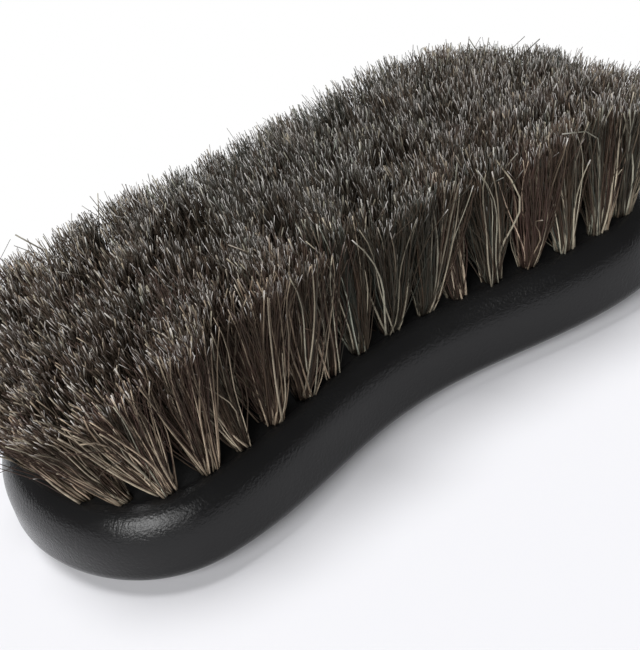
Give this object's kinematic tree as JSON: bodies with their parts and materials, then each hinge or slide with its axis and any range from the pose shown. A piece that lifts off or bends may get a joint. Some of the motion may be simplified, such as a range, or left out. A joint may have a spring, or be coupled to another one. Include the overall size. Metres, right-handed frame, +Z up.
{
  "type": "leather cleaning brush",
  "caption": "Palm-held scrub brush: a waisted black wooden block with rounded edges and a dense trimmed field of horsehair tufts set in blind holes.",
  "frame": {"origin": "under the middle of the block, on the plane that the back rests on", "axes": "+X along the block, +Y across it, +Z up from the back through the face to the bristle tips"},
  "size_m": [0.179, 0.076, 0.0519],
  "materials": {
    "block": "matte black lacquer with a fine satin grain",
    "bristles": "natural horsehair mix, dark brown, black and grey, trimmed ends"
  },
  "bodies": {
    "root": {"block": "block", "tuft_row_01": "bristles", "tuft_row_02": "bristles", "tuft_row_03": "bristles", "tuft_row_04": "bristles", "tuft_row_05": "bristles", "tuft_row_06": "bristles", "tuft_row_07": "bristles", "tuft_row_08": "bristles", "tuft_row_09": "bristles", "tuft_row_10": "bristles", "tuft_row_11": "bristles", "tuft_row_12": "bristles", "tuft_row_13": "bristles", "tuft_row_14": "bristles", "tuft_row_15": "bristles", "tuft_row_16": "bristles", "tuft_row_17": "bristles", "tuft_row_18": "bristles", "tuft_row_19": "bristles"}
  },
  "joints": []
}
